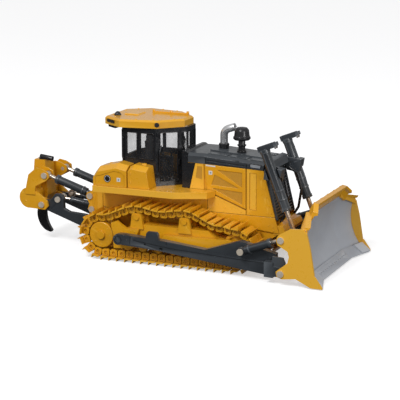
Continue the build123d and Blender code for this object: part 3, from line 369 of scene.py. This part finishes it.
def loft(bm, first, second):
    """A solid between two outlines with the same number of 3D points."""
    rings = [[bm.verts.new(point) for point in outline] for outline in (first, second)]
    bm.faces.new(rings[0])
    bm.faces.new(rings[1][::-1])
    for i in range(len(first)):
        j = (i + 1) % len(first)
        bm.faces.new((rings[0][i], rings[0][j], rings[1][j], rings[1][i]))


def slab(bm, points, y_low, y_high):
    """A plate with an XZ outline between two Y planes."""
    loft(bm, *[[(x, y, z) for x, z in points] for y in (y_low, y_high)])


def turned(bm, origin, axis, profile, segments=16):
    """A turned solid: (radius, height) pairs along an axis from the origin."""
    turn = Vector(UP).rotation_difference(Vector(axis)).to_matrix()
    rings = []
    for radius, height in profile:
        ring = []
        for angle in turns(segments):
            point = turn @ Vector((radius * cos(angle), radius * sin(angle), height))
            ring.append(bm.verts.new(Vector(origin) + point))
        rings.append(ring)
    bm.faces.new(rings[0][::-1])
    bm.faces.new(rings[-1])
    for low, high in zip(rings, rings[1:]):
        for i in range(segments):
            j = (i + 1) % segments
            bm.faces.new((low[i], low[j], high[j], high[i]))


def rivet(bm, origin, axis, radius, height=0.22):
    """A domed head that stands on a face."""
    profile = [(radius, -0.05), (radius, height * 0.3), (radius * 0.8, height * 0.75),
               (radius * 0.35, height)]
    turned(bm, origin, axis, profile, 10)


def pipe(name, paths, radius, material, body, closed=False):
    """Round rods, rails, hoses or seals along lists of points, on both sides."""
    data = bpy.data.curves.new(name, "CURVE")
    data.dimensions = "3D"
    data.bevel_depth = radius * MM
    data.bevel_resolution = 3
    data.use_fill_caps = not closed
    for path in paths:
        for flip in (1, -1):
            spline = data.splines.new("POLY")
            spline.points.add(len(path) - 1)
            for point, (x, y, z) in zip(spline.points, path):
                point.co = (x * MM, y * flip * MM, z * MM, 1)
            spline.use_cyclic_u = closed
    data.materials.append(MATERIALS[material])
    thing = bpy.data.objects.new(name, data)
    bpy.context.scene.collection.objects.link(thing)
    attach(thing, body)


def rounded(points, radius, steps=5):
    """A 3D polyline with its inner corners turned into arcs."""
    result = [Vector(points[0])]
    for before, corner, after in zip(points, points[1:], points[2:]):
        before, corner, after = Vector(before), Vector(corner), Vector(after)
        start = corner + (before - corner).normalized() * radius
        end = corner + (after - corner).normalized() * radius
        for i in range(steps + 1):
            t = i / steps
            result.append(start * (1 - t) ** 2 + corner * 2 * t * (1 - t) + end * t ** 2)
    result.append(Vector(points[-1]))
    return result


# distances of the doors' and the tanks' outer faces from the middle
HULL_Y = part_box("engine_doors")[1][1] / MM
TANK_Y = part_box("fuel_tanks")[1][1] / MM

# ---- engine housing -------------------------------------------------------------------------
WINDOWS = [[(24.0, 46.9), (36.7, 46.5), (36.7, 39.4)], [(22.6, 44.6), (34.8, 38.9), (20.9, 39.6)],
           [(21.2, 37.9), (36.9, 36.9), (36.9, 31.0)]]
REAR_VENT = [(13.3, 48.0), (15.9, 48.0), (15.9, 41.6), (12.5, 42.4)]
WINDOW_BACK, VENT_BACK = -13.0, -12.95
SHEET_FRONT, SHEET_BACK = 0.08, 0.02
WIRE_PITCH, WIRE_HALF, WIRE_LEAN = 0.62, 0.13, radians(38)
WIRE_BACK, WIRE_FRONT, LAYER_STEP = 0.05, 0.17, 0.07
WIRES_EACH_WAY = 24
SHORTEST_WIRE = 0.15
# blank square labels, and the round mark on the tank
LABELS = [(20.4, -13.5, 45.4), (-23.5, 0.25 - TANK_Y, 40.5)]
LABEL_HALF, LABEL_PROUD = 0.95, 0.07
TANK_DISC = (-29.6, 0.3 - TANK_Y, 40.6)
# the hood's top edge in XZ
HOOD_REAR, HOOD_FRONT = (17.0, 54.4), (48.0, 52.2)


def chord(outline, origin, direction):
    """Where a line enters and leaves a convex XZ outline, as two points, or None."""
    low, high = -1e3, 1e3
    sides = list(zip(outline, outline[1:] + outline[:1]))
    area = sum(x0 * z1 - x1 * z0 for (x0, z0), (x1, z1) in sides)
    for (x0, z0), (x1, z1) in sides:
        inward = Vector((z0 - z1, x1 - x0)) * (1 if area > 0 else -1)
        distance = (origin - Vector((x0, z0))).dot(inward)
        slope = direction.dot(inward)
        if abs(slope) < 1e-9:
            if distance < 0:
                return None
        elif slope > 0:
            low = max(low, -distance / slope)
        else:
            high = min(high, -distance / slope)
    if high - low < SHORTEST_WIRE:
        return None
    return [origin + direction * t for t in (low, high)]


def woven_screen(bm, outline, y_back):
    """A backing sheet with two layers of crossed flat wires clipped to the outline."""
    slab(bm, outline, y_back - SHEET_FRONT, y_back + SHEET_BACK)
    centre = sum((Vector(point) for point in outline), Vector((0, 0))) / len(outline)
    for layer, lean in enumerate((WIRE_LEAN, -WIRE_LEAN)):
        direction = Vector((cos(lean), sin(lean)))
        across = Vector((-direction.y, direction.x))
        half = across * WIRE_HALF
        front = y_back - WIRE_FRONT - LAYER_STEP * layer
        for i in range(-WIRES_EACH_WAY, WIRES_EACH_WAY + 1):
            ends = chord(outline, centre + across * (i * WIRE_PITCH), direction)
            if ends:
                corners = [ends[0] - half, ends[1] - half, ends[1] + half, ends[0] + half]
                slab(bm, corners, front, y_back - WIRE_BACK)


def door_screens():
    """Mesh in the engine door's three windows and in the vent aft of them."""
    bm = bmesh.new()
    for outline in WINDOWS:
        woven_screen(bm, outline, WINDOW_BACK)
    woven_screen(bm, REAR_VENT, VENT_BACK)
    finish_piece("engine_screens", bm, "mesh_ochre", "root")


def hood_vents():
    """A pale insert on each side of the hood, with a dark rim round it."""
    outline = [(40.9, 49.6), (40.9, 51.3), (46.3, 50.95), (46.0, 49.3)]
    rim_y, front, back = -13.45, -13.42, -13.15
    bm = bmesh.new()
    slab(bm, outline, front, back)
    finish_piece("hood_vent_plates", bm, "vent_grey", "root", soft=0.08)
    rim = [(x, rim_y, z) for x, z in outline]
    pipe("hood_vent_rims", [rim], 0.13, "black_plastic", "root", closed=True)


def housing_rivets():
    """Rivets along the door, the lower panel, the strip, the skirts and the rear panel."""
    face = -HULL_Y
    door = [(37.9, z) for z in (46.8, 44.0, 41.2, 38.4, 35.6, 32.8, 30.6)]
    lower_panel = [(19.9, 34.0), (21.6, 30.6), (19.9, 27.4), (28.2, 28.6), (36.6, 27.3),
                   (27.8, 31.6)]
    strip = [(x, z) for z in (45.6, 42.3, 39.0, 35.7, 32.4, 30.0) for x in (40.95, 43.95)]
    skirts = [(31.5, 25.0), (32.6, 23.9), (50.6, 21.9), (52.8, 21.2), (24.0, 24.4), (14.5, 24.8),
              (17.5, 31.4), (-30.0, 31.5), (53.2, 19.6)]
    rear_panel = [(10.9, 38.4), (15.6, 38.4), (13.6, 49.0), (15.9, 49.0)]
    bm = bmesh.new()
    for places, y, radius, height in ((door, face, 0.22, 0.16), (lower_panel, face, 0.3, 0.22),
                                      (strip, face + 0.15, 0.24, 0.18), (skirts, face, 0.34, 0.22),
                                      (rear_panel, -13.2, 0.24, 0.22)):
        for x, z in places:
            rivet(bm, (x, y, z), OUTWARD, radius, height)
    finish_piece("housing_rivets", bm, "yellow_paint", "root")


def housing_marks():
    """Plain printed marks: a stripe under the hood, square labels with a dot, a ringed disc."""
    bm = bmesh.new()
    slab(bm, [(17.9, 48.55), (17.9, 49.2), (22.9, 49.0), (22.9, 48.35)], -13.56, -13.46)
    for x, y, z in LABELS:
        slab(bm, rectangle(x, z, LABEL_HALF, LABEL_HALF), y - LABEL_PROUD, y + 0.05)
    finish_piece("print_labels", bm, "white_print", "root")
    bm = bmesh.new()
    for x, y, z in LABELS:
        turned(bm, (x, y - LABEL_PROUD, z), OUTWARD, [(0.5, -0.02), (0.5, 0.03)], 20)
    finish_piece("print_dots", bm, "vent_grey", "root")
    bm = bmesh.new()
    turned(bm, TANK_DISC, OUTWARD, [(1.85, -0.05), (1.85, 0.1), (1.75, 0.14)], 32)
    finish_piece("tank_discs", bm, "black_plastic", "root")
    (x, y, z), radius, proud = TANK_DISC, 1.45, 0.15
    ring = [(x + radius * cos(angle), y - proud, z + radius * sin(angle)) for angle in turns(32)]
    pipe("tank_disc_rings", [ring], 0.1, "white_print", "root", closed=True)


def hood_height(x):
    """The height of the hood's sloping top at a place along the machine."""
    slope = (HOOD_FRONT[1] - HOOD_REAR[1]) / (HOOD_FRONT[0] - HOOD_REAR[0])
    return HOOD_REAR[1] + slope * (x - HOOD_REAR[0])


def hood_top():
    """Hatch plates on the hood's top with their screws, and latches on its sides."""
    sunk, proud = 0.05, 0.3
    bm = bmesh.new()
    for x0, x1 in ((18.2, 28.0), (29.2, 38.2), (39.8, 46.6)):
        z0, z1 = hood_height(x0), hood_height(x1)
        hatch = [(x0, z0 - sunk), (x1, z1 - sunk), (x1, z1 + proud), (x0, z0 + proud)]
        slab(bm, hatch, -11.0, -6.3)
    finish_piece("hood_hatches", bm, "slate_paint", "root", soft=0.12)
    bm = bmesh.new()
    for x in (19.0, 27.2, 30.0, 37.4, 40.6, 45.8):
        for y in (-10.3, -7.0):
            rivet(bm, (x, y, hood_height(x) + 0.28), UP, 0.28, 0.2)
    for x in (24.0, 34.0):
        slab(bm, rectangle(x, 52.4, 1.0, 0.3), -13.75, -13.3)
    finish_piece("hood_fasteners", bm, "slate_paint", "root", soft=0.06)


def stack_bands():
    """Bands round the air cleaner and its stalk, and the clamp round the exhaust sleeve."""
    bm = bmesh.new()
    for height, radius in ((61.05, 4.28), (57.75, 2.2), (55.6, 2.35)):
        band = [(radius, 0), (radius + 0.12, 0.12), (radius, 0.26)]
        turned(bm, (31.9, -1.5, height), UP, band, 40)
    finish_piece("air_cleaner_bands", bm, "black_plastic", "root", mirrored=False)
    bm = bmesh.new()
    turned(bm, (21.2, 2.0, 56.4), UP, collar(2.5, 0.12, 0.1, 0.7), 32)
    finish_piece("exhaust_clamp", bm, "black_plastic", "root", mirrored=False)


# ---- cab ------------------------------------------------------------------------------------
# the right side's walls in plan: wall i runs from corner i to corner i + 1
CAB = [(-29.0, -9.0), (-25.8, -15.4), (-7.6, -15.9), (2.3, -7.2), (4.8, -4.9)]
REAR, SIDE, DOOR, FRONT = range(4)
# each pane's wall, the parts of the wall where it starts and ends, its sill and its head
PANES = [(REAR, 0.2, 0.85, 49.5, 63.0), (SIDE, 0.13, 0.45, 50.0, 62.8),
         (SIDE, 0.52, 0.94, 50.0, 62.8), (DOOR, 0.17, 0.87, 39.0, 63.3),
         (FRONT, 0.12, 0.86, 50.5, 63.3)]


def on_wall(wall, part, z, out):
    """A point on a cab wall: a part of the way along it, at a height, a little outside."""
    (x0, y0), (x1, y1) = CAB[wall:wall + 2]
    length = hypot(x1 - x0, y1 - y0)
    normal = ((y1 - y0) / length, -(x1 - x0) / length)
    return Vector((x0 + (x1 - x0) * part + normal[0] * out,
                   y0 + (y1 - y0) * part + normal[1] * out, z))


def window_seals():
    """A rubber seal with rounded corners round each pane."""
    loops = []
    for wall, start, end, sill, head in PANES:
        corners = [on_wall(wall, part, z, 0.05)
                   for part, z in ((start, sill), (end, sill), (end, head), (start, head))]
        loops.append(rounded([corners[3]] + corners + [corners[0]], 0.7)[1:-1])
    pipe("window_seals", loops, 0.26, "black_plastic", "root", closed=True)


def cab_fittings():
    """Door hinges and handle, grab rails and wipers."""
    bm = bmesh.new()
    for z in (41.0, 51.0, 61.5):
        turned(bm, on_wall(DOOR, 0.07, z, 0.35), UP, collar(0.3, 0.15, 0.1, 1.8), 12)
    turned(bm, on_wall(DOOR, 0.91, 47.0, 0.3), UP, collar(0.3, 0.12, 0.15, 2.75), 12)
    finish_piece("door_hardware", bm, "cab_black", "root")
    foot, grip = 0.1, 1.0
    routes = [(DOOR, [(0.13, 44.0, foot), (0.13, 44.0, grip), (0.13, 54.0, grip),
                      (0.22, 57.0, foot)]),
              (SIDE, [(0.04, 48.6, foot), (0.04, 48.6, grip), (0.04, 60.5, grip),
                      (0.04, 60.5, foot)])]
    rails = [rounded([on_wall(wall, *point) for point in route], 0.8) for wall, route in routes]
    pipe("grab_rails", rails, 0.3, "black_plastic", "root")
    wipers = [[on_wall(DOOR, 0.8, 41.0, 0.35), on_wall(DOOR, 0.38, 52.0, 0.4)],
              [on_wall(FRONT, 0.3, 51.3, 0.3), on_wall(FRONT, 0.65, 60.0, 0.3)]]
    pipe("wipers", wipers, 0.16, "black_plastic", "root")


def platform_studs():
    """Rows of studs on the step plate beside the cab."""
    first_x, first_y, plate_z = -5.0, -24.0, 36.8
    column_step, row_step, slant = 2.3, 1.8, 0.35
    bm = bmesh.new()
    for i in range(7):
        for j in range(3):
            x, y = first_x + column_step * i, first_y + row_step * j + slant * i
            rivet(bm, (x, y, plate_z), UP, 0.28, 0.18)
    finish_piece("platform_studs", bm, "yellow_paint", "root")


def roof_details():
    """Studs near the roof's edge and a hatch in its middle."""
    bm = bmesh.new()
    for x, y in ((-30.5, -13.6), (-18.0, -16.1), (-9.5, -14.6), (-1.0, -8.4), (-34.4, -7.0)):
        rivet(bm, (x, y, 69.4), UP, 0.42, 0.4)
    finish_piece("roof_studs", bm, "yellow_paint", "root")
    bm = bmesh.new()
    slab(bm, [(-30.0, 69.35), (-22.0, 69.35), (-22.6, 69.95), (-29.4, 69.95)], -4.5, 4.5)
    finish_piece("roof_hatch", bm, "yellow_paint", "root", mirrored=False, soft=0.2)


def tank_details():
    """Filler caps on the tanks and boxes, and the knuckles of a hinge."""
    bm = bmesh.new()
    for place in ((-30.5, -17.5, 46.6), (-13.0, -17.5, 47.4)):
        turned(bm, place, UP, [(1.3, 0), (1.3, 0.5), (1.05, 0.75), (0.4, 0.8)], 24)
    for z in (39.0, 43.4):
        turned(bm, (-17.3, -24.45, z), UP, [(0.25, 0), (0.25, 1.3)], 10)
    finish_piece("tank_caps", bm, "yellow_paint", "root")


# ---- cylinders, arms, frames and blade ------------------------------------------------------
# the pivots of each cylinder in XZ, and its distance from the middle
LIFT_TRUNNION, LIFT_EYE, LIFT_Y = (53.4, 47.9), (65.4, 17.6), 15.7
TILT_REAR, TILT_FRONT, TILT_Y = (45.3, 14.0), (65.8, 21.8), 35.6
RIPPER_LINK, BEAM_UPPER, LINK_Y = (-45.2, 28.2), (-71.3, 36.4), 10.0
# the sprocket's centre in XZ, its bolted face's distance from the middle, the bolts' circle
SPROCKET, SPROCKET_FACE, BOLT_CIRCLE, BOLTS = (-32.7, 12.3), 26.25, 4.6, 8


def along(start, end, distance, sideways=0.0):
    """A point some way from start towards end in XZ, moved sideways in that plane."""
    run = Vector((end[0] - start[0], end[1] - start[1])).normalized()
    return Vector(start) + run * distance + Vector((-run.y, run.x)) * sideways


def barrel_collars(name, start, end, y, radius, stations, body):
    """Raised rings round a barrel, at distances from its pivot."""
    bm = bmesh.new()
    axis = Vector((end[0] - start[0], 0, end[1] - start[1])).normalized()
    for station in stations:
        x, z = along(start, end, station)
        turned(bm, (x, -y, z), axis, collar(radius, 0.22, 0.12, 0.87), 32)
    finish_piece(name, bm, "slate_paint", body)


def cylinder_details():
    """Collars on the barrels, and the lift cylinders' feed pipes and port fittings."""
    barrel_collars("lift_collars", LIFT_TRUNNION, LIFT_EYE, LIFT_Y, 2.3, (-11.2, 8.0, 12.5),
                   "lift_barrels")
    barrel_collars("tilt_collars", TILT_REAR, TILT_FRONT, TILT_Y, 2.0, (4.0,), "tilt_barrels")
    barrel_collars("pitch_collars", RIPPER_LINK, BEAM_UPPER, LINK_Y, 2.05, (5.2,), "pitch_links")
    feed = []
    for distance, sideways in ((-11.5, 1.2), (-8.0, 1.5), (9.0, 1.5), (13.0, 1.2)):
        x, z = along(LIFT_TRUNNION, LIFT_EYE, distance, sideways)
        feed.append((x, -LIFT_Y - 2.2, z))
    pipe("lift_feed_pipes", [rounded(feed, 1.5)], 0.32, "slate_paint", "lift_barrels")
    bm = bmesh.new()
    x, z = along(LIFT_TRUNNION, LIFT_EYE, -12.9, 6.6)
    for y in (-LIFT_Y - 1.2, -LIFT_Y + 1.2):
        turned(bm, (x, y, z), DOWN, [(0.42, 0.5), (0.42, 1.9), (0.3, 2.1)], 16)
    finish_piece("lift_port_fittings", bm, "silver_pipe", "lift_barrels")


def face_bolts(name, places, y, radius, material, body):
    """Bolt heads at (x, z) places on an upright face."""
    bm = bmesh.new()
    for x, z in places:
        rivet(bm, (x, y, z), OUTWARD, radius)
    finish_piece(name, bm, material, body)


def arm_bolts():
    places = [(58.9, 11.6), (58.9, 6.4), (31.0, 9.2), (-15.4, 12.9), (-17.0, 15.0)]
    face_bolts("arm_bolts", places, -33.4, 0.36, "slate_paint", "push_arms")


def frame_bolts():
    """Bolts on the track frame's outer face, and a ring of them on each sprocket."""
    places = [(-16.3, 16.0), (-14.2, 15.6), (-16.0, 9.6), (5.4, 11.6), (7.2, 11.5), (24.0, 11.0)]
    face_bolts("track_frame_bolts", places, -26.85, 0.34, "yellow_paint", "root")
    for side, outward in (("right", -1), ("left", 1)):
        bm = bmesh.new()
        for angle in turns(BOLTS):
            place = (SPROCKET[0] + BOLT_CIRCLE * cos(angle), outward * SPROCKET_FACE,
                     SPROCKET[1] + BOLT_CIRCLE * sin(angle))
            rivet(bm, place, (0, outward, 0), 0.3, 0.14)
        finish_piece(f"sprocket_bolts_{side}", bm, "yellow_paint", f"sprocket_{side}",
                     mirrored=False)


def wing_caps():
    """A yellow cap along the top of each wing, that widens towards the end plate."""
    inner_y, outer_y = -22.2, -37.4
    inner = [(72.3, 31.2), (72.3, 32.5), (75.5, 32.6), (75.3, 30.4), (74.3, 30.4), (74.3, 31.2)]
    outer = [(76.0, 27.3), (76.0, 27.9), (78.2, 27.8), (78.3, 24.6), (77.5, 24.6), (77.6, 27.1)]
    bm = bmesh.new()
    loft(bm, [(x, inner_y, z) for x, z in inner], [(x, outer_y, z) for x, z in outer])
    finish_piece("wing_caps", bm, "yellow_paint", "blade", soft=0.15)


def arm_gussets():
    """The dark plate between the push arm's end and its tongue, behind the end plate."""
    bm = bmesh.new()
    slab(bm, [(60.9, 5.0), (66.4, 7.4), (67.4, 10.4), (66.2, 13.0), (60.9, 13.3)], -36.2, -35.2)
    finish_piece("arm_gussets", bm, "slate_paint", "push_arms", soft=0.12)


def blade_details():
    """Bolts in the cutting edge and ribs on the back of the spill guard."""
    edge_normal = (0.59, 0, 0.81)
    bm = bmesh.new()
    for i in range(12):
        rivet(bm, (77.6, -19.0 + 1.65 * i, 3.55), edge_normal, 0.25, 0.12)
    finish_piece("edge_bolts", bm, "blade_grey", "blade")
    bm = bmesh.new()
    for y in (-20.0, -10.0, -0.6):
        slab(bm, [(74.0, 31.3), (76.3, 37.0), (75.4, 37.0), (73.2, 33.0)], y, y + 0.9)
    finish_piece("guard_ribs", bm, "yellow_paint", "blade", soft=0.08)


def ripper_details():
    places = [(-82.6, 22.2), (-78.0, 26.6), (-74.4, 21.2)]
    face_bolts("ripper_bolts", places, -12.4, 0.45, "yellow_paint", "ripper_beam")


make_camera()
make_studio()
make_floor()
dress_frame()
for build in (door_screens, hood_vents, housing_rivets, housing_marks, hood_top, stack_bands,
              window_seals, cab_fittings, platform_studs, roof_details, tank_details,
              cylinder_details, arm_bolts, arm_gussets, frame_bolts, wing_caps, blade_details,
              ripper_details):
    build()
